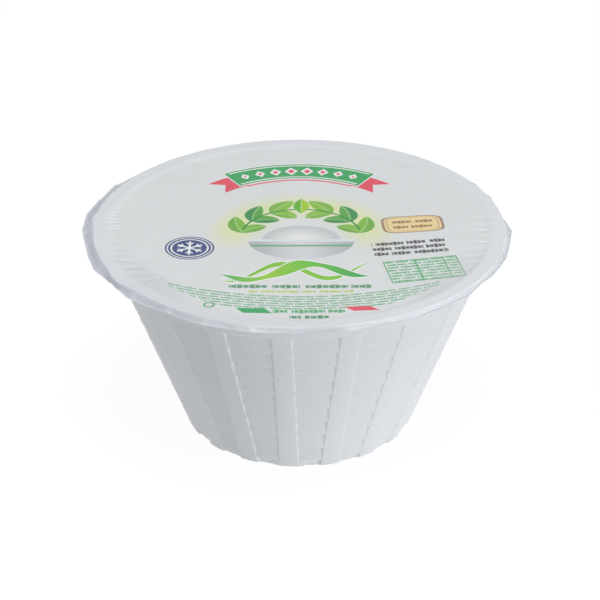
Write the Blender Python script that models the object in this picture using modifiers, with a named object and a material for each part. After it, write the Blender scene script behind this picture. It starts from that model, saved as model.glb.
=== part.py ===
"""Ricotta in a white basket-shaped tub, shut with a heat-sealed film. Metres, +Z up, standing on Z = 0.

The pack stands on its base with the tub's axis on Z. The tub tapers to the base. Smooth staves run down
it, flush with a smooth band under the flange, and between them lie sunk panels of slats, as on a woven
basket. The film is sealed flat on the flange, sags a little inside it and hangs past it as a creased skirt.
The pack is shut, so the tub and the cheese in it are one solid.
"""

import bmesh
import bpy
from math import atan2, cos, hypot, pi, radians, sin

MM = 0.001

# Heights
FLANGE_TOP = 97.5 * MM
FLANGE_THICKNESS = 1.2 * MM
BAND_TOP = 95.6 * MM
LEDGE_LOW = 3.9 * MM
LEDGE_PITCH = 9.17 * MM
LEDGES = 9
LEDGE_RISE = 0.3 * MM
BASE_BEVEL = 0.7 * MM

# Radii
BASE_RADIUS = 55.1 * MM
BAND_RADIUS = 90.1 * MM
FLANGE_RADIUS = 95.0 * MM
SEAL_RADIUS = 90.3 * MM
LIP_RADIUS = 88.6 * MM

# Staves and panels
STAVES = 18
STAVE_TURN = radians(-5.0)
STAVE_FACE = 8.3 * MM
DRAFT = 1.5
LEAST_SLOPE = 0.5 * MM
PANEL_DEEP = 0.8 * MM
PANEL_SHALLOW = 0.14 * MM
STRIP_DEPTH = 1.15 * MM
FOOT_REACH = 7.4 * MM
FOOT_EDGE = 0.4 * MM
FOOT_DEPTH = 0.45 * MM

# Film
GAP = 0.3 * MM
FILM_THICKNESS = 0.3 * MM
LIP_DROP = 0.5 * MM
SAG = 1.4 * MM
FOLD_RADIUS = 95.8 * MM
SKIRT_REACH = 98.3 * MM
SKIRT_TO_LEFT = 1.1 * MM
SKIRT_TO_FRONT = 0.2 * MM
SKIRT_OVAL = 1.1 * MM
SKIRT_DROP = 2.5 * MM
BEND_REACH_SHARE = 0.55
BEND_DROP_SHARE = 0.4
FACET_STEPS = 3

# Corners of the skirt: degrees round from the front, and how far each stands out of the skirt's mean line
SKIRT_CORNERS = [
    (-127, -1.4), (-117, 0.9), (-107, 0.0), (-98, 0.7), (-88, 0.4), (-74, -0.6), (-66, 0.5), (-57, -0.8),
    (-48, 1.0), (-36, -0.5), (-25, 0.7), (-12, 0.9), (0, 0.0), (7, -1.5), (13, 0.9), (20, -0.3),
    (30, 0.6), (40, -0.2), (49, 0.9), (56, -0.9), (62, 0.1), (71, 0.5), (80, -0.3), (88, 0.5),
    (94, -1.2), (109, -0.9), (119, 0.3), (130, -0.7), (143, 0.5), (156, -0.5), (169, 0.6), (182, -0.3),
    (195, 0.5), (208, -0.6), (220, 0.4),
]


def material(name, colour, roughness):
    """A plain finish: its colour, and how matt it is."""
    finish = bpy.data.materials.new(name)
    finish.use_nodes = True
    shader = finish.node_tree.nodes["Principled BSDF"]
    shader.inputs["Base Color"].default_value = (*colour, 1.0)
    shader.inputs["Roughness"].default_value = roughness
    shader.inputs["Metallic"].default_value = 0.0
    return finish


def add_object(name, mesh, finish, collection):
    """Puts a mesh in the collection as a named, smooth-shaded object with one material."""
    mesh.materials.append(finish)
    mesh.shade_smooth()
    mesh.set_sharp_from_angle(angle=radians(30.0))
    piece = bpy.data.objects.new(name, mesh)
    collection.objects.link(piece)
    return piece


def wrapped_grid(name, columns, rows, place):
    """A grid rolled up round Z: place(column, row) gives each point, and equal points are merged."""
    bm = bmesh.new()
    bmesh.ops.create_grid(bm, x_segments=columns, y_segments=rows - 1, size=0.5)
    for vert in bm.verts:
        column = round((vert.co.x + 0.5) * columns)
        row = round((vert.co.y + 0.5) * (rows - 1))
        vert.co = place(column % columns, row)
    bmesh.ops.remove_doubles(bm, verts=bm.verts, dist=1e-6)
    bmesh.ops.recalc_face_normals(bm, faces=bm.faces)
    mesh = bpy.data.meshes.new(name)
    bm.to_mesh(mesh)
    bm.free()
    return mesh


def round_point(angle, radius, height):
    """A point at an angle round from the front, -Y, towards +X."""
    return (radius * sin(angle), -radius * cos(angle), height)


def face_radius(height):
    """Radius of the tapering wall on its staves and its band."""
    return BASE_RADIUS + (BAND_RADIUS - BASE_RADIUS) * height / BAND_TOP


def sag(radius):
    """How far the film lies under its seal: a short lip at the tub's edge, then a shallow dish."""
    if radius >= SEAL_RADIUS:
        return 0.0
    if radius >= LIP_RADIUS:
        return LIP_DROP * (SEAL_RADIUS - radius) / (SEAL_RADIUS - LIP_RADIUS)
    return SAG + (LIP_DROP - SAG) * (radius / LIP_RADIUS) ** 2


def wall_levels():
    """Heights up the wall with the panels' depth at each, from the base to the panels' top edge.

    A deep strip runs round the base. Above it each slat is shallow at its lower edge and deep at its upper one.
    """
    levels = [(0.0, STRIP_DEPTH + BASE_BEVEL, BASE_BEVEL), (BASE_BEVEL, STRIP_DEPTH, 0.0)]
    for ledge in range(LEDGES):
        height = LEDGE_LOW + ledge * LEDGE_PITCH
        levels.append((height - LEDGE_RISE / 2, PANEL_DEEP if ledge else STRIP_DEPTH, 0.0))
        levels.append((height + LEDGE_RISE / 2, PANEL_SHALLOW, 0.0))
    panel_top = LEDGE_LOW + LEDGES * LEDGE_PITCH
    levels.append((panel_top - LEDGE_RISE, PANEL_DEEP, 0.0))
    levels.append((panel_top + 2 * LEDGE_RISE, 0.0, 0.0))
    return levels


def tub_columns(radius, depth):
    """Angles across one stave and the panel beside it, with the kind of each; the stave's sides have a draft."""
    half_pitch = pi / STAVES * radius
    side = STAVE_FACE / 2 + max(LEAST_SLOPE, DRAFT * min(depth, PANEL_DEEP))
    root = STAVE_FACE / 2 + DRAFT * PANEL_DEEP
    spread = (half_pitch - root) / (pi / STAVES * BASE_RADIUS - root)
    foot_in = root + (FOOT_REACH - FOOT_EDGE / 2 - root) * spread
    foot_out = root + (FOOT_REACH + FOOT_EDGE / 2 - root) * spread
    half = [(STAVE_FACE / 2, "face"), (side, "foot"), (foot_in, "foot"), (foot_out, "slat")]
    columns = half + [(half_pitch, "slat")]
    columns += [(2 * half_pitch - across, kind) for across, kind in reversed(half)]
    return [(across / radius, kind) for across, kind in columns]


def make_tub(collection):
    """The tub with the cheese in it. Two small feet stand in the low strip beside the first stave, the front one."""
    levels = wall_levels()
    per_stave = len(tub_columns(BASE_RADIUS, 0.0))
    rim = [
        (BAND_RADIUS, BAND_TOP),
        (FLANGE_RADIUS, FLANGE_TOP - FLANGE_THICKNESS),
        (FLANGE_RADIUS, FLANGE_TOP),
        (SEAL_RADIUS, FLANGE_TOP),
        (LIP_RADIUS, FLANGE_TOP - sag(LIP_RADIUS)),
        (LIP_RADIUS / 2, FLANGE_TOP - sag(LIP_RADIUS / 2)),
        (0.0, FLANGE_TOP - sag(0.0)),
    ]
    rows = 1 + len(levels) + len(rim)

    def place(column, row):
        stave, across = divmod(column, per_stave)
        wall = row - 1
        if row == 0:
            return (0.0, 0.0, 0.0)
        height, depth, bevel = levels[wall] if wall < len(levels) else (BAND_TOP, 0.0, 0.0)
        angle, kind = tub_columns(face_radius(height), depth)[across]
        angle += STAVE_TURN + stave * 2 * pi / STAVES
        if wall >= len(levels):
            return round_point(angle, *rim[wall - len(levels)])
        beside = stave if across < per_stave // 2 else (stave + 1) % STAVES
        if kind == "face":
            depth = bevel
        elif kind == "foot" and beside == 0 and height < LEDGE_LOW:
            depth = min(depth, FOOT_DEPTH + bevel)
        return round_point(angle, face_radius(height) - depth, height)

    mesh = wrapped_grid("tub", STAVES * per_stave, rows, place)
    return add_object("tub", mesh, material("white_tub", (0.86, 0.88, 0.89), 0.42), collection)


def skirt_mean(angle):
    """Mean reach of the skirt: the film lies a little to the left, and stands out most at the sides."""
    off_centre = SKIRT_TO_FRONT * cos(angle) - SKIRT_TO_LEFT * sin(angle)
    return SKIRT_REACH + off_centre - SKIRT_OVAL * cos(2 * angle)


def skirt_outline():
    """Points along the skirt's free edge, on straight facets between its corners, as angle and radius."""
    corners = []
    for degrees, out in SKIRT_CORNERS:
        angle = radians(degrees)
        reach = skirt_mean(angle) + out * MM
        corners.append((reach * sin(angle), -reach * cos(angle)))
    outline = []
    for k, (x, y) in enumerate(corners):
        next_x, next_y = corners[(k + 1) % len(corners)]
        for step in range(FACET_STEPS):
            share = step / FACET_STEPS
            px = x + (next_x - x) * share
            py = y + (next_y - y) * share
            outline.append((atan2(px, -py), hypot(px, py)))
    return outline


def make_film(collection):
    outline = skirt_outline()
    under = FLANGE_TOP + GAP
    rows = [0.0, LIP_RADIUS / 2, LIP_RADIUS, SEAL_RADIUS, FOLD_RADIUS]

    def place(column, row):
        angle, reach = outline[column]
        if row < len(rows):
            return round_point(angle, rows[row], under - sag(rows[row]))
        if row == len(rows):
            bend_radius = FOLD_RADIUS + (reach - FOLD_RADIUS) * BEND_REACH_SHARE
            return round_point(angle, bend_radius, under - SKIRT_DROP * BEND_DROP_SHARE)
        return round_point(angle, reach, under - SKIRT_DROP)

    mesh = wrapped_grid("film", len(outline), len(rows) + 2, place)
    if mesh.polygons[0].normal.z < 0:
        mesh.flip_normals()
    film = add_object("film", mesh, material("sealing_film", (0.84, 0.86, 0.88), 0.3), collection)
    wall = film.modifiers.new("thickness", "SOLIDIFY")
    wall.thickness = FILM_THICKNESS
    wall.offset = 1.0
    return film


def main():
    for old in list(bpy.data.objects):
        bpy.data.objects.remove(old)
    pack = bpy.data.collections.new("ricotta_in_basket")
    bpy.context.scene.collection.children.link(pack)
    make_tub(pack)
    make_film(pack)


main()
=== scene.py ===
"""A white basket-shaped tub of ricotta under a printed, heat-sealed film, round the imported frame."""
import random
from math import cos, exp, pi, radians, sin

import bmesh
import bpy
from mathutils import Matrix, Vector, noise


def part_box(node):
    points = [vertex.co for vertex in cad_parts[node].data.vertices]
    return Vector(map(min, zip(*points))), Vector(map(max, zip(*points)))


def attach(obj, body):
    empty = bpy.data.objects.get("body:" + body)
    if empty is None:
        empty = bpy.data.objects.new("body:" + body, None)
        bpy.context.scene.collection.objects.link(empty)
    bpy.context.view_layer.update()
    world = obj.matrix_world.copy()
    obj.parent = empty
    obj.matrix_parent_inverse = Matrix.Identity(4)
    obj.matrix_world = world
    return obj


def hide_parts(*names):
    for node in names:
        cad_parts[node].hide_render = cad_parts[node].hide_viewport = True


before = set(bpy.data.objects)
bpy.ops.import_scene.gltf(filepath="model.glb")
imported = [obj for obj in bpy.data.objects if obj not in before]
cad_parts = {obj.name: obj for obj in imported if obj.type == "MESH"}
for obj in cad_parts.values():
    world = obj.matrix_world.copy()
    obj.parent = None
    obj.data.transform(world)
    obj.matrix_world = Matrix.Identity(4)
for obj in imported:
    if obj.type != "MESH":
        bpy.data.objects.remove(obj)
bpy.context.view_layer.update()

MM = 0.001

# Tub, as in the frame: heights and radii in metres
TUB_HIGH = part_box("tub")[1]
FILM_LOW, FILM_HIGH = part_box("film")
FLANGE_RADIUS = TUB_HIGH.x
FLANGE_TOP = TUB_HIGH.z
FLANGE_THICKNESS = 1.2 * MM
FLANGE_EDGE = 0.45 * MM
BAND_TOP = 95.6 * MM
BASE_RADIUS = 55.1 * MM
BAND_RADIUS = 90.1 * MM
SEAL_RADIUS = 90.3 * MM
LIP_RADIUS = 88.6 * MM
BASE_EDGE = 0.25 * MM
LEDGE_LOW = 3.9 * MM
LEDGE_PITCH = 9.17 * MM
LEDGES = 9
LEDGE_RISE = 0.3 * MM
LEDGE_BEAD = 0.15 * MM
LEDGE_GROOVE = 0.13 * MM
PANEL_TOP = LEDGE_LOW + LEDGES * LEDGE_PITCH
CORNER_SOFT = 0.16

# Staves, panels and feet: the sides of a stave are given as draft and least width
STAVES = 18
STAVE_TURN = radians(-5.0)
STAVE_FACE = 8.3 * MM
PANEL_DEEP = 0.8 * MM
PANEL_SHALLOW = 0.14 * MM
DRAFT_LEFT = 1.7
DRAFT_RIGHT = 1.3
LEAST_LEFT = 0.12 * MM
LEAST_RIGHT = 0.7 * MM
STRIP_DEPTH = 1.15 * MM
FOOT_REACH = 7.4 * MM
FOOT_EDGE = 0.4 * MM
FOOT_DEPTH = 0.45 * MM

# Film
FILM_THICKNESS = 0.15 * MM
FILM_TOP = FILM_HIGH.z - 0.02 * MM
FOLD_RADIUS = 95.6 * MM
LIP_DROP = 0.5 * MM
LIP_WIDTH = 4.2 * MM
FILM_LIP = 0.3 * MM
SAG = 1.4 * MM
SKIRT_REACH = 98.3 * MM
SKIRT_TO_LEFT = 1.1 * MM
SKIRT_TO_FRONT = 0.2 * MM
SKIRT_OVAL = 1.1 * MM
SKIRT_DROP = 2.6 * MM
FILM_COLUMNS = 1100
FILM_CROWDING = 0.25

# The film's swells, how far apart they are, and how far it stays over the tub
SWELL = 0.16 * MM
SWELL_SPAN = 34 * MM
LIP_SWELL = 0.26 * MM
LIP_SWELL_SPAN = 15 * MM
SEAL_GRAIN = 0.03 * MM
SEAL_GRAIN_SPAN = 3.2 * MM
FILM_CLEAR = 0.18 * MM
UNDERSIDE_CLEAR = 0.08 * MM

# Where the fold is pinched outwards: degrees round from the front, millimetres out, and width in degrees
FOLD_PINCHES = [(-112, 0.8, 13), (-94, 1.4, 3.5), (-57, 1.9, 5)]

# Corners of the skirt: degrees round from the front, and how far each stands out of the skirt's mean line
SKIRT_CORNERS = [
    (-127, -1.4), (-117, 0.9), (-107, 0.0), (-98, 0.7), (-88, 0.4), (-74, -0.6), (-66, 0.5), (-57, -0.8),
    (-48, 1.0), (-36, -0.5), (-25, 0.7), (-12, 0.9), (0, 0.0), (7, -1.5), (13, 0.9), (20, -0.3),
    (30, 0.6), (40, -0.2), (49, 0.9), (56, -0.9), (62, 0.1), (71, 0.5), (80, -0.3), (88, 0.5),
    (94, -1.2), (109, -0.9), (119, 0.3), (130, -0.7), (143, 0.5), (156, -0.5), (169, 0.6), (182, -0.3),
    (195, 0.5), (208, -0.6), (220, 0.4),
]
SKIRT_LIFTED = (-98, -88, 71)

# Lights: name, place, width in metres, and power in watts
LIGHTS = [
    ("key_from_right", (1.399, -0.944, 0.257), 0.8, 19.5),
    ("overhead", (0.1, -0.32, 1.97), 1.2, 40.0),
]

# Camera, fitted to the photograph
CAMERA_ELEVATION = radians(28.18)
CAMERA_DISTANCE = 0.916
CAMERA_OVER = Vector((0.0, 0.0, 0.076))
CAMERA_AIM = Vector((0.0004, 0.0, 0.0581))
CAMERA_LENS = 116.7


def rounded_ramp(t, soft):
    """Rises from 0 to 1 as t does, with both corners rounded over soft on each side."""
    def hinge(v):
        if v <= -soft:
            return 0.0
        if v >= soft:
            return v
        return (v + soft) ** 2 / (4 * soft)
    return hinge(t) - hinge(t - 1)


def face_radius(height):
    """Radius of the tapering wall on its staves and its band."""
    return BASE_RADIUS + (BAND_RADIUS - BASE_RADIUS) * height / BAND_TOP


def slat_depth(height):
    """Depth of the slats under the staves: each one's lower edge stands out, with a bead along it."""
    if height >= PANEL_TOP + 0.9 * MM:
        return 0.0
    if height < LEDGE_LOW - LEDGE_RISE / 2:
        return STRIP_DEPTH
    ledge = min(round((height - LEDGE_LOW) / LEDGE_PITCH), LEDGES)
    above = height - (LEDGE_LOW + ledge * LEDGE_PITCH)
    slope = (PANEL_DEEP - PANEL_SHALLOW) * above / LEDGE_PITCH
    if ledge == LEDGES:
        closing = rounded_ramp((above + LEDGE_RISE) / (3 * LEDGE_RISE), 0.25)
        return (PANEL_DEEP + min(slope, 0.0)) * (1 - closing)
    step = rounded_ramp(above / LEDGE_RISE + 0.5, 0.35)
    bead = LEDGE_BEAD * step * exp(-max(0.0, above - 0.12 * MM) / (0.34 * MM))
    groove = LEDGE_GROOVE * (1 - step) * max(0.0, min(1.0, (above + 0.5 * MM) / (0.35 * MM)))
    return PANEL_DEEP + (PANEL_SHALLOW - PANEL_DEEP) * step + slope - bead + groove


def stave_slopes(height):
    """Widths of the staves' sloping sides, right and left: wider where the slats lie deeper."""
    depth = min(slat_depth(height), PANEL_DEEP)
    return max(LEAST_RIGHT, DRAFT_RIGHT * depth), max(LEAST_LEFT, DRAFT_LEFT * depth)


def wall_heights():
    """Heights up the wall: close together at the base's edge and round each ledge, wider on the slats."""
    heights = [0.0, 0.04 * MM, 0.14 * MM, 0.4 * MM, 1.3 * MM, 2.4 * MM]
    round_ledge = [-0.8, -0.5, -0.33, -0.16, -0.05, 0.05, 0.14, 0.28, 0.5, 0.9]
    on_slat = [0.35, 0.7]
    round_top = [-0.6, -0.45, -0.3, -0.15, 0.0, 0.15, 0.3, 0.45, 0.6, 0.8, 1.0]
    on_band = [0.35, 0.6, 0.8, 0.92]
    for ledge in range(LEDGES):
        height = LEDGE_LOW + ledge * LEDGE_PITCH
        heights += [height + step * MM for step in round_ledge]
        heights += [height + share * LEDGE_PITCH for share in on_slat]
    heights += [PANEL_TOP + step * MM for step in round_top]
    heights += [PANEL_TOP + share * (BAND_TOP - PANEL_TOP) for share in on_band]
    return heights


def base_rings():
    """The underside from its centre: a gate mark, a shallow dish with two moulded steps, a foot ring."""
    steps = [
        (0.0, 0.9), (1.4, 0.9), (1.8, 1.15), (3.2, 1.15), (3.6, 0.9), (14.0, 0.9), (14.4, 1.1), (16.0, 1.1),
        (16.4, 0.9), (30.0, 0.9), (30.4, 0.7), (44.0, 0.7), (48.6, 0.6), (49.2, 0.35), (49.5, 0.1),
        (50.0, 0.0),
    ]
    return [(radius * MM, height * MM) for radius, height in steps]


def rim_rings():
    """From the wall along the flange's underside, round its edge, and over the tub's lip to its centre."""
    fillet = [(-0.2, -0.35), (0.15, 0.05), (0.6, 0.3), (1.4, 0.45)]
    rings = [(BAND_RADIUS + out * MM, BAND_TOP + up * MM) for out, up in fillet]
    under = FLANGE_TOP - FLANGE_THICKNESS
    edge_in = FLANGE_RADIUS - FLANGE_EDGE
    for step in range(5):
        turn = pi / 2 * step / 4
        rings.append((edge_in + FLANGE_EDGE * sin(turn), under + FLANGE_EDGE * (1 - cos(turn))))
    for step in range(5):
        turn = pi / 2 * step / 4
        rings.append((edge_in + FLANGE_EDGE * cos(turn), FLANGE_TOP - FLANGE_EDGE * (1 - sin(turn))))
    rings += [(SEAL_RADIUS, FLANGE_TOP), (LIP_RADIUS, FLANGE_TOP - LIP_DROP), (0.0, FLANGE_TOP - SAG)]
    return rings


def foot_reach(radius):
    """How far from a stave's middle its feet reach, and how far their edge spreads, as the panel widens."""
    root = STAVE_FACE / 2 + DRAFT_LEFT * PANEL_DEEP
    spread = (pi / STAVES * radius - root) / (pi / STAVES * BASE_RADIUS - root)
    return root + (FOOT_REACH - root) * spread, FOOT_EDGE * spread


def stave_columns(radius, slopes):
    """Distances across the wall from a stave's middle to the next one's: right side, panel, left side."""
    pitch = 2 * pi / STAVES * radius
    edge = STAVE_FACE / 2
    reach, nib = foot_reach(radius)
    round_corners = [-0.16, -0.05, 0.06, 0.16, 0.84, 0.94, 1.05, 1.16]
    sides = []
    for slope in slopes:
        side = [edge + slope * share for share in round_corners]
        sides.append(side + [reach - nib, reach - nib / 3, reach + nib / 3, reach + nib])
    return [0.0] + sides[0] + [pitch / 2] + [pitch - across for across in reversed(sides[1])]


def rolled(lines):
    """A grid rolled up round Z, from a line of points for each column, with equal points merged."""
    columns, rows = len(lines), len(lines[0])
    bm = bmesh.new()
    bmesh.ops.create_grid(bm, x_segments=columns, y_segments=rows - 1, size=0.5)
    for vert in bm.verts:
        column = round((vert.co.x + 0.5) * columns)
        row = round((vert.co.y + 0.5) * (rows - 1))
        vert.co = lines[column % columns][row]
    bmesh.ops.remove_doubles(bm, verts=bm.verts, dist=1e-7)
    bmesh.ops.recalc_face_normals(bm, faces=bm.faces)
    return bm


def round_point(angle, radius, height):
    """A point at an angle round from the front, -Y, towards +X."""
    return (radius * sin(angle), -radius * cos(angle), height)


def finished(name, bm, material, sharp_degrees):
    """Makes the bmesh a piece of the scene, smooth except where its faces meet at more than an angle."""
    mesh = bpy.data.meshes.new(name)
    bm.to_mesh(mesh)
    bm.free()
    mesh.materials.append(material)
    mesh.shade_smooth()
    mesh.set_sharp_from_angle(angle=radians(sharp_degrees))
    piece = bpy.data.objects.new(name, mesh)
    bpy.context.scene.collection.objects.link(piece)
    return piece


def wall_depth(across, radius, height, feet):
    """Depth of the wall under its tapering face, at a distance across from a stave's middle to the next.

    The feet say whether there is one beside this stave, on its right, and beside the next, on its left.
    """
    pitch = 2 * pi / STAVES * radius
    beside = 0 if across < pitch / 2 else 1
    slope = stave_slopes(height)[beside]
    across = min(across, pitch - across)
    depth = slat_depth(height)
    if feet[beside] and height < LEDGE_LOW:
        off_foot = rounded_ramp((across - foot_reach(radius)[0]) / FOOT_EDGE + 0.5, 0.3)
        depth = FOOT_DEPTH + (depth - FOOT_DEPTH) * off_foot
    edge = max(0.0, BASE_EDGE - height)
    rounding = BASE_EDGE - (BASE_EDGE**2 - edge**2) ** 0.5
    return depth * rounded_ramp((across - STAVE_FACE / 2) / slope, CORNER_SOFT) + rounding


def wall_rows(feet):
    """A stave and the panel after it: each height with its radius, and distances across with depths."""
    rows = []
    for height in wall_heights():
        radius = face_radius(height)
        columns = stave_columns(radius, stave_slopes(height))
        depths = [wall_depth(across, radius, height, feet) for across in columns]
        rows.append((height, radius, list(zip(columns, depths))))
    return rows


def make_tub(material):
    """The shut tub: underside, wall, flange and surface under the film. Only the front stave has feet."""
    walls = {feet: wall_rows(feet) for feet in ((True, False), (False, True), (False, False))}
    low_columns = stave_columns(BASE_RADIUS, stave_slopes(0.0))
    high_columns = stave_columns(BAND_RADIUS, stave_slopes(BAND_TOP))
    bottom = base_rings()
    rim = rim_rings()
    lines = []
    for stave in range(STAVES):
        start = STAVE_TURN + stave * 2 * pi / STAVES
        wall = walls[stave == 0, stave == STAVES - 1]
        for column in range(len(low_columns)):
            low = start + low_columns[column] / BASE_RADIUS
            high = start + high_columns[column] / BAND_RADIUS
            line = [round_point(low, *ring) for ring in bottom]
            for height, radius, row in wall:
                across, depth = row[column]
                line.append(round_point(start + across / radius, radius - depth, height))
            lines.append(line + [round_point(high, *ring) for ring in rim])
    return finished("basket_tub", rolled(lines), material, 35)


def skirt_corners():
    """The skirt's corners as angle, point, and how flat it lies there, from 0 to 1."""
    rng = random.Random(7)
    corners = []
    for degrees, out in SKIRT_CORNERS:
        angle = radians(degrees)
        off_centre = SKIRT_TO_FRONT * cos(angle) - SKIRT_TO_LEFT * sin(angle)
        reach = SKIRT_REACH + off_centre - SKIRT_OVAL * cos(2 * angle) + out * MM
        flat = 1.0 if degrees in SKIRT_LIFTED else rng.uniform(0.0, 0.55)
        corners.append((angle, Vector((reach * sin(angle), -reach * cos(angle))), flat))
    return corners


def skirt_at(corners, angle):
    """Reach of the skirt's straight facets at an angle, how near a corner that is, and how flat it lies."""
    first = corners[0][0]
    angle = (angle - first) % (2 * pi) + first
    ends = corners[1:] + [(first + 2 * pi, *corners[0][1:])]
    for (start, a, flat_a), (end, b, flat_b) in zip(corners, ends):
        if angle < end:
            break
    side = b - a
    reach = (a.x * side.y - a.y * side.x) / (sin(angle) * side.y + cos(angle) * side.x)
    share = (angle - start) / (end - start)
    return reach, abs(2 * share - 1), flat_a + (flat_b - flat_a) * share


def sag(radius):
    """How far the film lies under its seal: a soft lip over the tub's edge, then a shallow dish."""
    t = min(1.0, max(0.0, (SEAL_RADIUS - radius) / LIP_WIDTH))
    inside = max(0.0, 1 - (radius / LIP_RADIUS) ** 2)
    return FILM_LIP * t * t * (3 - 2 * t) + (SAG - FILM_LIP) * inside


def tub_top(radius):
    """Height of the surface under the film: the flange, the lip's slope, then the shallow dish."""
    if radius >= LIP_RADIUS:
        return FLANGE_TOP - LIP_DROP * max(0.0, (SEAL_RADIUS - radius) / (SEAL_RADIUS - LIP_RADIUS))
    return FLANGE_TOP - SAG + (SAG - LIP_DROP) * radius / LIP_RADIUS


def shrink_wrinkles():
    """Short wrinkles inside the seal: angle, inner radius, width, depth, slant, and side, 1 for the right.

    They are plainest at the two sides, where they lie along X, and longest at the front left.
    """
    rng = random.Random(31)
    wrinkles = []
    degrees = -178.0
    while degrees < 178.0:
        angle = radians(degrees)
        from_middle = abs(degrees)
        side = min(1.0, max(0.0, (from_middle - 50) / 8)) * min(1.0, max(0.0, (104 - from_middle) / 7))
        long_left = exp(-(((degrees + 55) / 9) ** 2))
        length = (3.5 + 4.5 * side + 8 * long_left) * rng.uniform(0.75, 1.25) * MM
        plain, broad = (0.24, 0.62) if degrees < 0 else (0.30, 0.5)
        depth = (0.02 + plain * side + 0.16 * long_left) * rng.uniform(0.75, 1.25) * MM
        width = (broad + 0.4 * long_left) * rng.uniform(0.9, 1.15) * MM
        along_x = cos(angle) / sin(angle) * (1.0 if degrees < 0 else 1.4)
        slant = max(-1.2, min(1.2, along_x)) * side
        wrinkles.append((angle, LIP_RADIUS - length, width, depth, slant, 1 if degrees > 0 else -1))
        degrees += (2.4 if -104 < degrees < -93 else 4.1) * rng.uniform(0.9, 1.1) + 1.2 * long_left
    return wrinkles


def wrinkle_depth(near, radius):
    """Depth at a radius of the wrinkles near one line of the film, each one steeper on its front side."""
    total = 0.0
    for off, inner, width, depth, slant, right in near:
        along = (radius - inner) / (LIP_RADIUS - inner)
        if along <= 0 or radius > SEAL_RADIUS:
            continue
        across = (off * radius + slant * (LIP_RADIUS - radius)) * right / width
        across = across / 1.9 if across > 0 else -across / 0.75
        fade = min(1.0, along * 1.5) * min(1.0, (SEAL_RADIUS - radius) / (2.6 * MM))
        total += depth * fade * exp(-(across**1.6))
    return total


def film_radii():
    """Rings of the film up to its fold: wide apart inside, closer at the wrinkles and the lip."""
    radii = [4.0 * step for step in range(15)] + [60.0 + 1.5 * step for step in range(18)]
    radii += [86.6 + 0.6 * step for step in range(7)] + [91.2, 92.4, 93.6, 94.6, 95.2]
    return [radius * MM for radius in radii]


def turn_from(angle, start):
    """The turn from one angle to another the short way round, from -pi to pi."""
    return (angle - start + pi) % (2 * pi) - pi


def lid_height(ray, radius, near):
    """Height of the film inside its fold: it sags, swells and wrinkles inside the seal, uneven on it."""
    height = FILM_TOP - sag(radius)
    if radius >= SEAL_RADIUS:
        height -= SEAL_GRAIN * (1 + noise.noise(ray * (radius / SEAL_GRAIN_SPAN)))
        return min(height, FILM_TOP)
    inside = min(1.0, (SEAL_RADIUS - radius) / (8 * MM))
    near_lip = min(1.0, max(0.0, (radius - 58 * MM) / (20 * MM)))
    swell = SWELL * noise.noise(ray * (radius / SWELL_SPAN) + Vector((3.1, 0.7, 0.0)))
    swell += LIP_SWELL * near_lip * noise.noise(ray * (radius / LIP_SWELL_SPAN) + Vector((0.4, 2.6, 8.0)))
    height += inside * swell - wrinkle_depth(near, radius)
    return min(max(height, tub_top(radius) + FILM_CLEAR), FILM_TOP)


def skirt_line(angle, ray, corners):
    """The skirt from its fold to its free edge, as radii and heights: it hangs, crumples and curls."""
    reach, corner, flat = skirt_at(corners, angle)
    fold = FOLD_RADIUS
    for at, out, width in FOLD_PINCHES:
        fold += out * MM * exp(-(turn_from(angle, radians(at)) / radians(width)) ** 2)
    crease = max(0.0, corner - 0.7) / 0.3
    skirt = []
    for share in (0.0, 0.1, 0.22, 0.38, 0.55, 0.72, 0.86, 0.94, 1.0):
        crumple = noise.noise(ray * (reach / (5.5 * MM)) + Vector((0.0, 0.0, 5.0 + 1.5 * share)))
        hang = sin(min(1.0, share / 0.9) * pi / 2) ** 1.3
        curl = max(0.0, share - 0.86) / 0.14
        out = fold + (reach - fold) * share**0.85 - 0.2 * MM * crease * share * (1 - share)
        drop = (SKIRT_DROP - 0.35 * MM) * hang * (1 - 0.12 * crease) * (1 - 0.42 * flat)
        height = FILM_TOP - drop + 0.3 * MM * curl * curl + crumple * 0.8 * MM * share * (1 - 0.5 * share)
        skirt.append((out, max(FILM_LOW.z + 2 * FILM_THICKNESS, min(FILM_TOP, height))))
    return skirt


def film_line(angle, corners, wrinkles):
    """Points of the film along one ray: from its middle over the fold to the free edge, and back under."""
    near = [(turn_from(angle, at), *rest) for at, *rest in wrinkles]
    near = [wrinkle for wrinkle in near if abs(wrinkle[0]) < 0.3]
    ray = Vector((sin(angle), -cos(angle), 0.0))
    profile = [(radius, lid_height(ray, radius, near)) for radius in film_radii()]
    skirt = skirt_line(angle, ray, corners)
    profile += skirt
    profile += [(out - 0.4 * FILM_THICKNESS, height - FILM_THICKNESS) for out, height in skirt[:0:-2]]
    profile += [(radius, tub_top(radius) + UNDERSIDE_CLEAR) for radius in (SEAL_RADIUS, LIP_RADIUS, 0.0)]
    return [round_point(angle, radius, height) for radius, height in profile]


def make_film(material):
    """The film, sealed on the flange, sagging inside it and hanging past it as a creased skirt."""
    corners = skirt_corners()
    wrinkles = shrink_wrinkles()
    step = 2 * pi / FILM_COLUMNS
    turns = [column * step for column in range(FILM_COLUMNS)]
    lines = [film_line(turn + FILM_CROWDING * sin(2 * turn), corners, wrinkles) for turn in turns]
    return finished("sealing_film", rolled(lines), material, 50)


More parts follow.
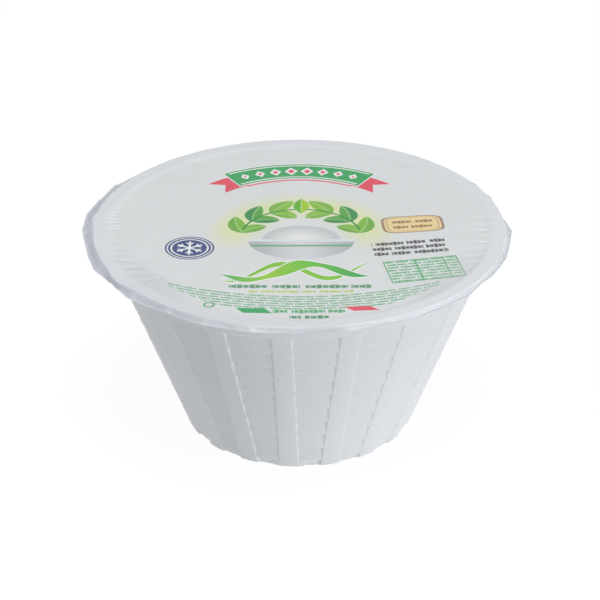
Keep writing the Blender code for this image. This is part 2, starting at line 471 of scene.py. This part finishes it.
class Num:
    """A number in a material: an expression on numbers adds its Math nodes."""

    def __init__(self, shader, socket):
        self.shader = shader
        self.socket = socket

    def math(self, operation, *numbers):
        return self.shader.node("ShaderNodeMath", {"operation": operation}, dict(enumerate(numbers)))

    def __add__(self, other):
        return self.math("ADD", self, other)

    def __radd__(self, other):
        return self.math("ADD", other, self)

    def __sub__(self, other):
        return self.math("SUBTRACT", self, other)

    def __rsub__(self, other):
        return self.math("SUBTRACT", other, self)

    def __mul__(self, other):
        return self.math("MULTIPLY", self, other)

    def __rmul__(self, other):
        return self.math("MULTIPLY", other, self)

    def __pow__(self, other):
        return self.math("POWER", self, other)

    def __abs__(self):
        return self.math("ABSOLUTE", self)

    def scaled(self, by, plus):
        """The number times one value, plus another."""
        return self.math("MULTIPLY_ADD", self, by, plus)

    def floor(self):
        return self.math("FLOOR", self)

    def fract(self):
        return self.math("FRACT", self)

    def sine(self):
        return self.math("SINE", self)

    def under(self, limit, soft=0.25):
        """1 where the number is under the limit and 0 over it, with an edge soft wide."""
        if isinstance(limit, Num):
            return (self - limit).under(0.0, soft)
        ends = {0: self, 1: limit - soft / 2, 2: limit + soft / 2, 3: 1.0, 4: 0.0}
        return self.shader.node("ShaderNodeMapRange", {"interpolation_type": "SMOOTHSTEP"}, ends)

    def over(self, limit, soft=0.25):
        """1 where the number is over the limit and 0 under it, with an edge soft wide."""
        ends = {0: self, 1: limit - soft / 2, 2: limit + soft / 2, 3: 0.0, 4: 1.0}
        return self.shader.node("ShaderNodeMapRange", {"interpolation_type": "SMOOTHSTEP"}, ends)


class Shader:
    """A material's nodes, with its Principled shader at hand."""

    def __init__(self, name):
        self.material = bpy.data.materials.new(name)
        self.material.use_nodes = True
        self.tree = self.material.node_tree
        self.principled = self.tree.nodes["Principled BSDF"]

    def node(self, kind, settings=None, inputs=None, output=0):
        """Adds a node: its settings first, a ramp's stops among them, then its sockets' values or links."""
        made = self.tree.nodes.new(kind)
        for key, value in (settings or {}).items():
            if key == "stops":
                ramp = made.color_ramp
                while len(ramp.elements) < len(value):
                    ramp.elements.new(0.5)
                for element, (position, colour) in zip(ramp.elements, value):
                    element.position = position
                    element.color = (*colour, 1.0)
            else:
                setattr(made, key, value)
        for key, value in (inputs or {}).items():
            self.put(made.inputs[key], value)
        return Num(self, made.outputs[output])

    def put(self, socket, value):
        """Gives a socket a link, a colour or a number."""
        if isinstance(value, Num):
            self.tree.links.new(value.socket, socket)
        elif isinstance(value, tuple) and len(value) == 3 and socket.type == "RGBA":
            socket.default_value = (*value, 1.0)
        else:
            socket.default_value = value

    def set(self, **values):
        """Sets sockets of the Principled shader, by name with _ for a space."""
        for key, value in values.items():
            self.put(self.principled.inputs[key.replace("_", " ")], value)

    def place(self, scale):
        """The point on the piece, in its own frame, times a scale: a number, or one for each axis."""
        point = self.node("ShaderNodeTexCoord", output=3)
        if isinstance(scale, tuple):
            return self.node("ShaderNodeVectorMath", {"operation": "MULTIPLY"}, {0: point, 1: scale})
        return self.node("ShaderNodeVectorMath", {"operation": "SCALE"}, {0: point, "Scale": scale})

    def parts(self, vector):
        """X, Y and Z of a vector, as numbers."""
        return [self.node("ShaderNodeSeparateXYZ", None, {0: vector}, axis) for axis in range(3)]

    def noise(self, vector, scale, detail=2.0, rough=0.5):
        inputs = {"Vector": vector, "Scale": scale, "Detail": detail, "Roughness": rough}
        return self.node("ShaderNodeTexNoise", None, inputs)

    def mix(self, share, first, second):
        """A colour between two, by a share from 0 to 1."""
        return self.node("ShaderNodeMix", {"data_type": "RGBA"}, {0: share, 6: first, 7: second}, 2)

    def bump(self, height, strength, distance):
        inputs = {"Height": height, "Strength": strength, "Distance": distance}
        return self.node("ShaderNodeBump", None, inputs)


def tub_material():
    """White moulded plastic: satin, a touch cool, with mould lines, flow marks, a fine grain and scuffs.

    Each ledge has a painted highlight along its lip, just above it, and a painted shadow just below it.
    On the tub's left half the staves' right edges have a painted highlight. The wall is painted paler
    towards the foot and darker under the rim, as painted light and shade.
    """
    s = Shader("white_moulded_plastic")
    place = s.place(1 / MM)
    x, y, z = s.parts(place)
    grain = s.noise(place, 1.6, 3.0, 0.6)
    cloud = s.noise(place, 0.045, 3.0)
    flow = s.noise(s.place((350.0, 350.0, 22.0)), 1.0, 2.0)
    scuff = s.noise(s.place((250.0, 250.0, 1500.0)), 1.0, 4.0, 0.7)
    lines = s.noise(s.place((9.0, 9.0, 900.0)), 1.0, 2.0)
    worn = scuff.over(0.72, 0.16)
    turn = x.math("ARCTAN2", x, y * -1.0).scaled(STAVES / (2 * pi), STAVES * (2.0 + 5.0 / 360.0) + 0.5)
    across = abs(turn.fract() - 0.5) * (2 * pi / STAVES) * (x * x + y * y) ** 0.5
    slat = across.over(5.0, 1.2) * z.under(84.5, 1.0) * z.over(3.0, 1.0)
    pitch = LEDGE_PITCH / MM
    above = z.scaled(1 / pitch, 4.5 - LEDGE_LOW / LEDGE_PITCH).fract().scaled(pitch, -pitch / 2)
    # Painted highlight: a pale line along each slat's lip, faded out towards the right.
    lip = abs(above - 0.45).under(0.34, 0.3) * slat * x.under(42.0, 50.0)
    # Painted shadow: a dark line just under each ledge.
    painted_ledge_shadow = abs(above + 0.4).under(0.34, 0.3) * slat
    # Painted highlight: a pale line along the staves' right edges, on the tub's left half only.
    edge = abs(across - 4.85).under(0.5, 0.5) * turn.fract().over(0.5, 0.02)
    edge = edge * x.under(-25.0, 30.0) * z.under(85.5, 1.0)
    colour = s.mix(cloud * 0.6 + flow * 0.4, (0.528, 0.553, 0.584), (0.567, 0.591, 0.619))
    # Painted light and shade: paler towards the foot, darker under the rim.
    colour = s.mix(z.under(45.0, 90.0) * 0.62, colour, (0.640, 0.663, 0.694))
    # Mould lines, plus the painted highlights on the lips and the staves' edges.
    colour = s.mix((lines - 0.5) * 0.25 * slat + lip * 0.15 + edge * 0.2, colour, (0.86, 0.885, 0.92))
    # Painted shadow under the ledges.
    colour = s.mix(painted_ledge_shadow * 0.21, colour, (0.34, 0.36, 0.385))
    s.set(
        Base_Color=colour,
        Roughness=0.36 + 0.14 * grain + 0.12 * worn,
        Normal=s.bump(grain * 0.5 + flow * 1.2 + scuff * 1.6 + lines * slat * 2.0, 0.14, 0.0002),
        IOR=1.49,
        Subsurface_Weight=0.18,
        Subsurface_Radius=(1.0, 0.95, 0.9),
        Subsurface_Scale=0.0015,
    )
    return s.material


# Inks of the print
GREEN = (0.055, 0.36, 0.12)
DEEP_GREEN = (0.03, 0.24, 0.075)
LEAF_GREEN = (0.13, 0.42, 0.045)
LIME = (0.33, 0.56, 0.035)
RED = (0.72, 0.09, 0.13)
NAVY = (0.045, 0.075, 0.21)
INK = (0.05, 0.05, 0.055)
TAN = (0.70, 0.53, 0.25)
BROWN = (0.25, 0.13, 0.06)
WHITE = (0.80, 0.81, 0.81)


class Print:
    """The film's print, laid on in layers: x to the right and y to the back, in millimetres on the film."""

    def __init__(self, shader, x, y, ground):
        self.s = shader
        self.x = x
        self.y = y
        self.colour = ground

    def lay(self, mask, colour, strength=1.0):
        share = mask if strength == 1.0 else mask * strength
        self.colour = self.s.mix(share, self.colour, colour)

    def turned(self, centre, degrees):
        """Coordinates round a centre, turned anticlockwise."""
        c, d = cos(radians(degrees)), sin(radians(degrees))
        along = self.y.scaled(d, -centre[0] * c - centre[1] * d)
        up = self.x.scaled(-d, centre[0] * d - centre[1] * c)
        return self.x.scaled(c, along), self.y.scaled(c, up)

    def box(self, x, y, half_x, half_y):
        return abs(x).under(half_x) * abs(y).under(half_y)

    def radius(self, x, y):
        return (x * x + y * y) ** 0.5

    def angle(self, x, y):
        """Angle from the back, positive to the right, in radians."""
        return x.math("ARCTAN2", x, y)

    def ring(self, distance, radius, half_width):
        return abs(distance - radius).under(half_width)

    def chance(self, index, seed):
        """A number from 0 to 1 for each whole number."""
        return (index.scaled(12.99, seed).sine() * 4371.3).fract()

    def text(self, x, y, half_length, cap, letter, rows=1, pitch=4.0, seed=0.0):
        """Blind text: strokes of uneven height in words, in one row or a block of rows, and no letters."""
        phase, from_middle = seed, abs(y)
        ends = abs(x).under(half_length)
        if rows > 1:
            down = y.scaled(-1 / pitch, rows / 2)
            phase = down.floor().scaled(2.17, seed)
            ends = ends * from_middle.under(rows * pitch / 2)
            from_middle = abs(down.fract() - 0.5) * pitch
        fast = x.scaled(2 * pi / letter, phase).sine()
        slow = x.scaled(2 * pi / (letter * 2.63), phase).sine()
        word = x.scaled(2 * pi / (letter * 6.3), phase).sine()
        height = slow.over(0.35, 0.2).scaled(0.3 * cap, 0.7 * cap)
        ink = (from_middle - height).under(0.0) * (slow + word).under(1.3, 0.2)
        return ink * fast.over(-0.82, 0.5).scaled(0.75, 0.25) * ends


def lay_banner(p, radius, angle):
    """A green banner bowed with the back of the film, with red swallow tails and a row of diamonds."""
    turn = abs(angle)
    tail_in = abs(radius - 57.0)
    notch = turn - tail_in * 0.016
    tail = tail_in.under(6.2) * notch.under(0.675, 0.006) * turn.over(0.50, 0.006)
    p.lay(tail, RED)
    p.lay(turn.under(0.585, 0.006) * p.ring(radius, 60.0, 8.4), WHITE)
    band = turn.under(0.575, 0.006) * p.ring(radius, 60.0, 7.7)
    p.lay(band, GREEN)
    p.lay(abs(abs(radius - 60.0) - 6.1).under(0.45) * turn.under(0.55, 0.006), WHITE)
    step = angle.scaled(60.0 / 7.8, 4.0)
    across = abs(step.fract() - 0.5) * 7.8
    size = step.floor().scaled(1.0, -3.5)
    size = abs(size).scaled(-0.42, 4.3)
    diamond = across.scaled(1.25, abs(radius - 60.0)) - size
    row = turn.under(0.515, 0.006)
    p.lay(diamond.under(0.0) * row, WHITE)
    p.lay((diamond + 1.9).under(0.0) * row, RED)
    p.lay(turn.under(0.52, 0.006) * p.ring(radius, 50.4, 0.7), RED, 0.85)


def lay_garland(p):
    """An arch of paired leaves, with a pale glow round it."""
    x = p.x - 1.0
    y = p.y + 9.0
    arch, pitch, pairs = 28.0, 12.6, 3
    radius = p.radius(x, y)
    side = abs(p.angle(x, y))
    out = radius - arch
    glow = abs(out - 3.0).under(9.0, 17.0) * side.under(1.75, 0.9)
    p.lay(glow, (0.66, 0.74, 0.22), 0.6)
    along = side.scaled(arch / pitch, -0.22)
    index = along.floor()
    local = (along.fract() - 0.5) * pitch
    sides = along.over(0.0, 0.01) * along.under(pairs, 0.01)
    tone = p.chance(index, 1.7)
    for sign, tilt in ((-1, 34), (1, 38)):
        c, d = cos(radians(tilt)), sin(radians(tilt))
        away = out.scaled(sign, -4.0)
        u = away.scaled(d, local * -c)
        v = away.scaled(c, local * d)
        width = (u * u).scaled(-3.9 / 70.0, 3.9)
        leaf = (abs(v) - width).under(0.0) * sides
        shade = p.s.mix(v.under(0.0, 1.2).scaled(0.55, tone * 0.3), DEEP_GREEN, LEAF_GREEN)
        shade = p.s.mix(tone.scaled(1.1, -0.45), shade, LIME)
        ribs = abs(abs(v).scaled(0.62, u * 0.55).fract() - 0.5).under(0.09, 0.12)
        rib = abs(v).under(0.3, 0.35)
        shade = p.s.mix((ribs * 0.3).math("MAXIMUM", ribs * 0.3, rib * 0.6), shade, (0.50, 0.72, 0.36))
        p.lay(leaf, shade)
    p.lay(abs(out).under(0.5) * along.under(pairs - 0.3, 0.01), DEEP_GREEN)
    lift = y - arch - 3.5
    crown = abs(x) - (lift * lift).scaled(-3.7 / 58.0, 3.7)
    p.lay(crown.under(0.0), p.s.mix(x.under(0.0, 0.9), LIME, LEAF_GREEN))
    p.lay(abs(x).under(0.3) * abs(lift).under(6.0), (0.50, 0.72, 0.36), 0.7)


def lay_bowl(p):
    """A plain bowl with a round of white cheese, in soft greys, under the arch."""
    x = p.x - 1.0
    y = p.y + 13.0
    top = p.radius(x * 0.82, y)
    tone = p.s.mix(top.over(9.0, 16.0), (0.77, 0.78, 0.775), (0.50, 0.52, 0.53))
    p.lay(top.under(15.0, 0.5) * y.over(0.0), tone)
    bowl = p.radius(x * 0.76, y).under(18.5, 0.3) * y.under(0.0)
    p.lay(bowl, p.s.mix(abs(x).under(12.0, 26.0), (0.42, 0.44, 0.47), (0.62, 0.64, 0.66)))
    p.lay(abs(y + 5.2).under(0.9) * bowl, GREEN, 0.75)
    p.lay(p.box(x, y, 25.2, 1.2), (0.68, 0.70, 0.71))


def lay_badge(p):
    """A round navy badge with rings and a six-armed snow star: keep cold."""
    x = p.x + 50.0
    y = p.y + 21.0
    radius = p.radius(x, y)
    p.lay(radius.under(11.6), (0.72, 0.735, 0.75))
    p.lay(p.ring(radius, 10.9, 0.4), NAVY)
    p.lay(p.ring(radius, 9.3, 0.5), NAVY)
    p.lay(radius.under(7.9), NAVY)
    turn = abs(p.angle(x, y).scaled(3 / pi, 0.5).fract() - 0.5) * (pi / 3)
    along = radius * turn.math("COSINE", turn)
    across = radius * turn.sine()
    arm = across.under(0.55) * along.under(6.4)
    chevron = abs(along - across - 3.4).under(0.5) * across.under(1.8)
    p.lay(arm.math("MAXIMUM", arm, chevron), (0.80, 0.82, 0.84))


def lay_label(p):
    """A tan label with a brown edge and two blind lines."""
    x, y = p.turned((53.0, 3.0), 5.0)
    rounded = ((abs(x) * (1 / 14.5)) ** 5.0 + (abs(y) * (1 / 8.4)) ** 5.0) ** 0.2
    p.lay(rounded.under(1.0, 0.03), BROWN, 0.85)
    p.lay(rounded.under(0.92, 0.03), p.s.mix(x.scaled(1.9, y * 2.3).sine() * 0.5, (0.78, 0.63, 0.34), TAN))
    p.lay(abs(rounded - 0.83).under(0.02, 0.03), BROWN, 0.5)
    p.lay(p.text(x, y, 9.5, 1.5, 2.1, rows=2, pitch=5.2, seed=1.0), BROWN, 0.85)


def lay_dates(p):
    """Three stamped lines in dark ink, a little out of true."""
    x, y = p.turned((50.5, -20.5), 7.0)
    p.lay(p.text(x, y, 17.0, 1.75, 1.9, rows=3, pitch=4.9, seed=3.0), INK, 0.9)


def lay_table(p):
    """A small ruled table with blind entries."""
    x, y = p.turned((56.0, -42.0), 10.0)
    half_x, half_y, rows = 17.0, 10.4, 8
    inside = p.box(x, y, half_x, half_y)
    p.lay(inside, (0.62, 0.72, 0.66), 0.35)
    pitch = 2 * half_y / rows
    entries = p.text(x, y, half_x - 0.8, 0.85, 1.25, rows=rows, pitch=pitch, seed=5.0)
    p.lay(entries, GREEN, 0.85)
    p.lay(abs(abs(x - 4.0) - 6.5).under(0.35) * inside, GREEN, 0.8)
    p.lay(inside * (1 - p.box(x, y, half_x - 0.6, half_y - 0.6)), GREEN, 0.9)


def lay_flourish(p):
    """Two tapering strokes that cross like a ribbon, green at the ends and lime within, on a white edge."""
    x = p.x + 1.5
    y = p.x.scaled(-0.07, p.y + 43.5)
    stops = [(0.0, (0.07, 0.42, 0.16)), (0.3, (0.30, 0.56, 0.05))]
    stops += [(0.6, (0.15, 0.50, 0.06)), (1.0, (0.04, 0.34, 0.11))]
    tint = p.s.node("ShaderNodeValToRGB", {"stops": stops}, {0: x.scaled(1 / 68.0, 0.5)})
    taper = (x * x).scaled(-1 / 34.0**2, 1.0)
    ends = abs(x).under(33.0, 2.0)
    slim = abs(y + x.scaled(2 * pi / 44.0, -0.6).sine() * 7.6) - taper * 2.3
    thick = x.scaled(2 * pi / 26.0, 2.2).sine().scaled(1.7, 3.9)
    broad = abs(y - x.scaled(2 * pi / 52.0, 0.9).sine() * 6.6) - thick * taper
    p.lay((slim - 0.8).under(0.0) * ends, WHITE)
    p.lay(slim.under(0.0) * ends, (0.22, 0.52, 0.05))
    p.lay((broad - 0.9).under(0.0) * ends, WHITE)
    p.lay(broad.under(0.0) * ends, tint)


def lay_small_print(p):
    """Blind lines in green under the flourish, curved with the front of the film."""
    p.lay(p.text(p.x - 0.5, p.y + 57.9, 31.5, 1.75, 2.7, seed=0.8), DEEP_GREEN, 0.85)
    p.lay(p.text(p.x - 1.0, p.y + 62.6, 23.0, 0.95, 1.4, seed=2.2), (0.45, 0.58, 0.04), 0.95)
    down = p.radius(p.x, p.y - 83.5).scaled(-1.0, 150.0)
    block = p.text(p.x - 2.0, down + 6.4, 60.0, 0.72, 1.15, rows=6, pitch=2.2, seed=4.0)
    length = (down + 6.4).scaled(2.4, 52.0)
    p.lay(block * (abs(p.x - 2.0) - length).under(0.0) * p.y.under(-40.0), GREEN, 0.8)


def lay_footer(p):
    """A green bar and a red bar on either side of a blind word, and a heavier blind line under them."""
    x, y = p.turned((-19.5, -80.2), -3.0)
    p.lay(p.box(y.scaled(0.9, x), y, 6.3, 2.1), GREEN)
    x, y = p.turned((27.0, -78.2), 5.0)
    p.lay(p.box(y.scaled(0.9, x), y, 5.6, 2.0), RED)
    p.lay(p.text(p.x - 4.2, p.y + 80.8, 15.5, 1.6, 2.1, seed=5.1), GREEN, 0.9)
    p.lay(p.text(p.x - 4.2, p.y + 86.0, 8.4, 1.6, 2.8, seed=3.4), DEEP_GREEN, 0.9)
    p.lay(p.ring(p.radius(p.x + 39.0, p.y + 75.0), 2.1, 0.5), GREEN, 0.85)


def film_material():
    """Printed packing film: whitish and slightly glossy, paler on the seal, cooler on the skirt.

    The skirt's colour starts at the fold, which is pinched outwards in three places. Near the lip at the
    front sides the film is painted greyer, most on the left, as painted shade. The seal is painted darker
    at the front as painted shade, and the skirt is painted paler and bluer on its left side as painted
    light.
    """
    s = Shader("printed_sealing_film")
    place = s.place(1 / MM)
    x, y, _ = s.parts(place)
    radius = (x * x + y * y) ** 0.5
    p = Print(s, x, y, (0.668, 0.685, 0.695))
    lay_garland(p)
    lay_bowl(p)
    lay_banner(p, radius, p.angle(x, y))
    lay_label(p)
    lay_badge(p)
    lay_dates(p)
    lay_table(p)
    lay_flourish(p)
    lay_small_print(p)
    lay_footer(p)
    cloud = s.noise(place, 0.03, 3.0)
    mottle = s.noise(place, 0.9, 3.0, 0.6)
    fine = s.noise(place, 2.4, 2.0)
    seal = radius.over(89.6, 2.2)
    pinched = p.radius(x + 81.0, y + 53.0).under(7.0, 12.0) * 2.0
    pinched = pinched + p.radius(x + 96.0, y - 7.0).under(4.5, 8.0) * 1.6
    pinched = p.radius(x + 89.0, y - 37.0).under(20.0, 24.0).scaled(0.8, pinched)
    skirt = (x.scaled(-0.003, radius) - pinched).over(95.65, 0.6)
    # Painted shade: greyer near the lip at the front, most on the left.
    painted_lip_shade = abs(x).over(50.0, 18.0) * y.under(-30.0, 40.0) * radius.over(79.0, 10.0)
    painted_lip_shade = painted_lip_shade * x.under(0.0, 60.0).scaled(0.12, 0.30)
    # A random grey cloud, plus the painted shade near the lip.
    colour = s.mix(cloud * 0.12 + painted_lip_shade, p.colour, (0.52, 0.54, 0.56))
    sealed = s.mix(mottle, (0.63, 0.657, 0.688), (0.672, 0.70, 0.728))
    # Painted shade: the seal is darker at the front, most on the left.
    front = y.under(-55.0, 80.0) * x.under(20.0, 110.0).scaled(0.5, 0.08)
    colour = s.mix(seal, colour, s.mix(front, sealed, (0.565, 0.59, 0.615)))
    hanging = s.mix(mottle, (0.455, 0.482, 0.522), (0.56, 0.588, 0.618))
    # Painted light: the skirt is paler and bluer on its left side.
    hanging = s.mix(x.under(-50.0, 60.0) * 0.6, hanging, (0.53, 0.555, 0.625))
    colour = s.mix(skirt, colour, hanging)
    knurl = (radius * 6.0).sine() * seal * (1 - skirt)
    s.set(
        Base_Color=colour,
        Roughness=0.34 + 0.1 * mottle + 0.08 * seal,
        Normal=s.bump(fine * 0.35 + mottle * 0.65 + knurl * 0.2, 0.10, 0.0002),
        IOR=1.5,
        Coat_Weight=0.12,
        Coat_Roughness=0.25,
        Subsurface_Weight=0.1,
        Subsurface_Radius=(1.0, 0.97, 0.95),
        Subsurface_Scale=0.001,
    )
    return s.material


def floor_material():
    """A pale floor, so evenly lit that it looks white."""
    s = Shader("pale_floor")
    tone = s.noise(s.place(1.0), 3.0, 2.0)
    s.set(
        Base_Color=s.mix(tone, (0.055, 0.055, 0.055), (0.065, 0.065, 0.065)),
        Roughness=0.8,
        Specular_IOR_Level=0.1,
        Emission_Color=(1.0, 1.0, 1.0),
        Emission_Strength=0.95,
    )
    return s.material


def make_stage():
    """A wide pale floor under the pack."""
    bm = bmesh.new()
    bmesh.ops.create_grid(bm, x_segments=1, y_segments=1, size=6.0)
    floor = finished("floor", bm, floor_material(), 30)


def area_light(name, place, size, power):
    """A square soft light, aimed at the pack."""
    data = bpy.data.lights.new(name, "AREA")
    data.shape = "SQUARE"
    data.size = size
    data.energy = power
    light = bpy.data.objects.new(name, data)
    light.location = place
    light.rotation_euler = (Vector((0, 0, 0.06)) - Vector(place)).to_track_quat("-Z", "Y").to_euler()
    bpy.context.scene.collection.objects.link(light)


def make_lights():
    """A dim, cool room, a low key light from the right that grazes the staves, and one overhead."""
    world = bpy.data.worlds.new("studio")
    world.use_nodes = True
    background = world.node_tree.nodes["Background"]
    background.inputs["Color"].default_value = (0.97, 0.985, 1.0, 1.0)
    background.inputs["Strength"].default_value = 0.08
    bpy.context.scene.world = world
    for light in LIGHTS:
        area_light(*light)


def make_camera():
    """The photograph's view: from the front and above, at a short telephoto's distance."""
    data = bpy.data.cameras.new("camera")
    data.lens = CAMERA_LENS
    data.sensor_width = 36.0
    camera = bpy.data.objects.new("camera", data)
    back = Vector((0.0, -cos(CAMERA_ELEVATION), sin(CAMERA_ELEVATION)))
    camera.location = CAMERA_OVER + back * CAMERA_DISTANCE
    camera.rotation_euler = (CAMERA_AIM - camera.location).to_track_quat("-Z", "Y").to_euler()
    bpy.context.scene.collection.objects.link(camera)
    bpy.context.scene.camera = camera


make_camera()
make_lights()
make_stage()

tub = make_tub(tub_material())
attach(tub, "root")
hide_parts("tub")

film = make_film(film_material())
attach(film, "root")
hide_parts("film")

scene = bpy.context.scene
scene.view_settings.view_transform = "Standard"
scene.view_settings.look = "None"
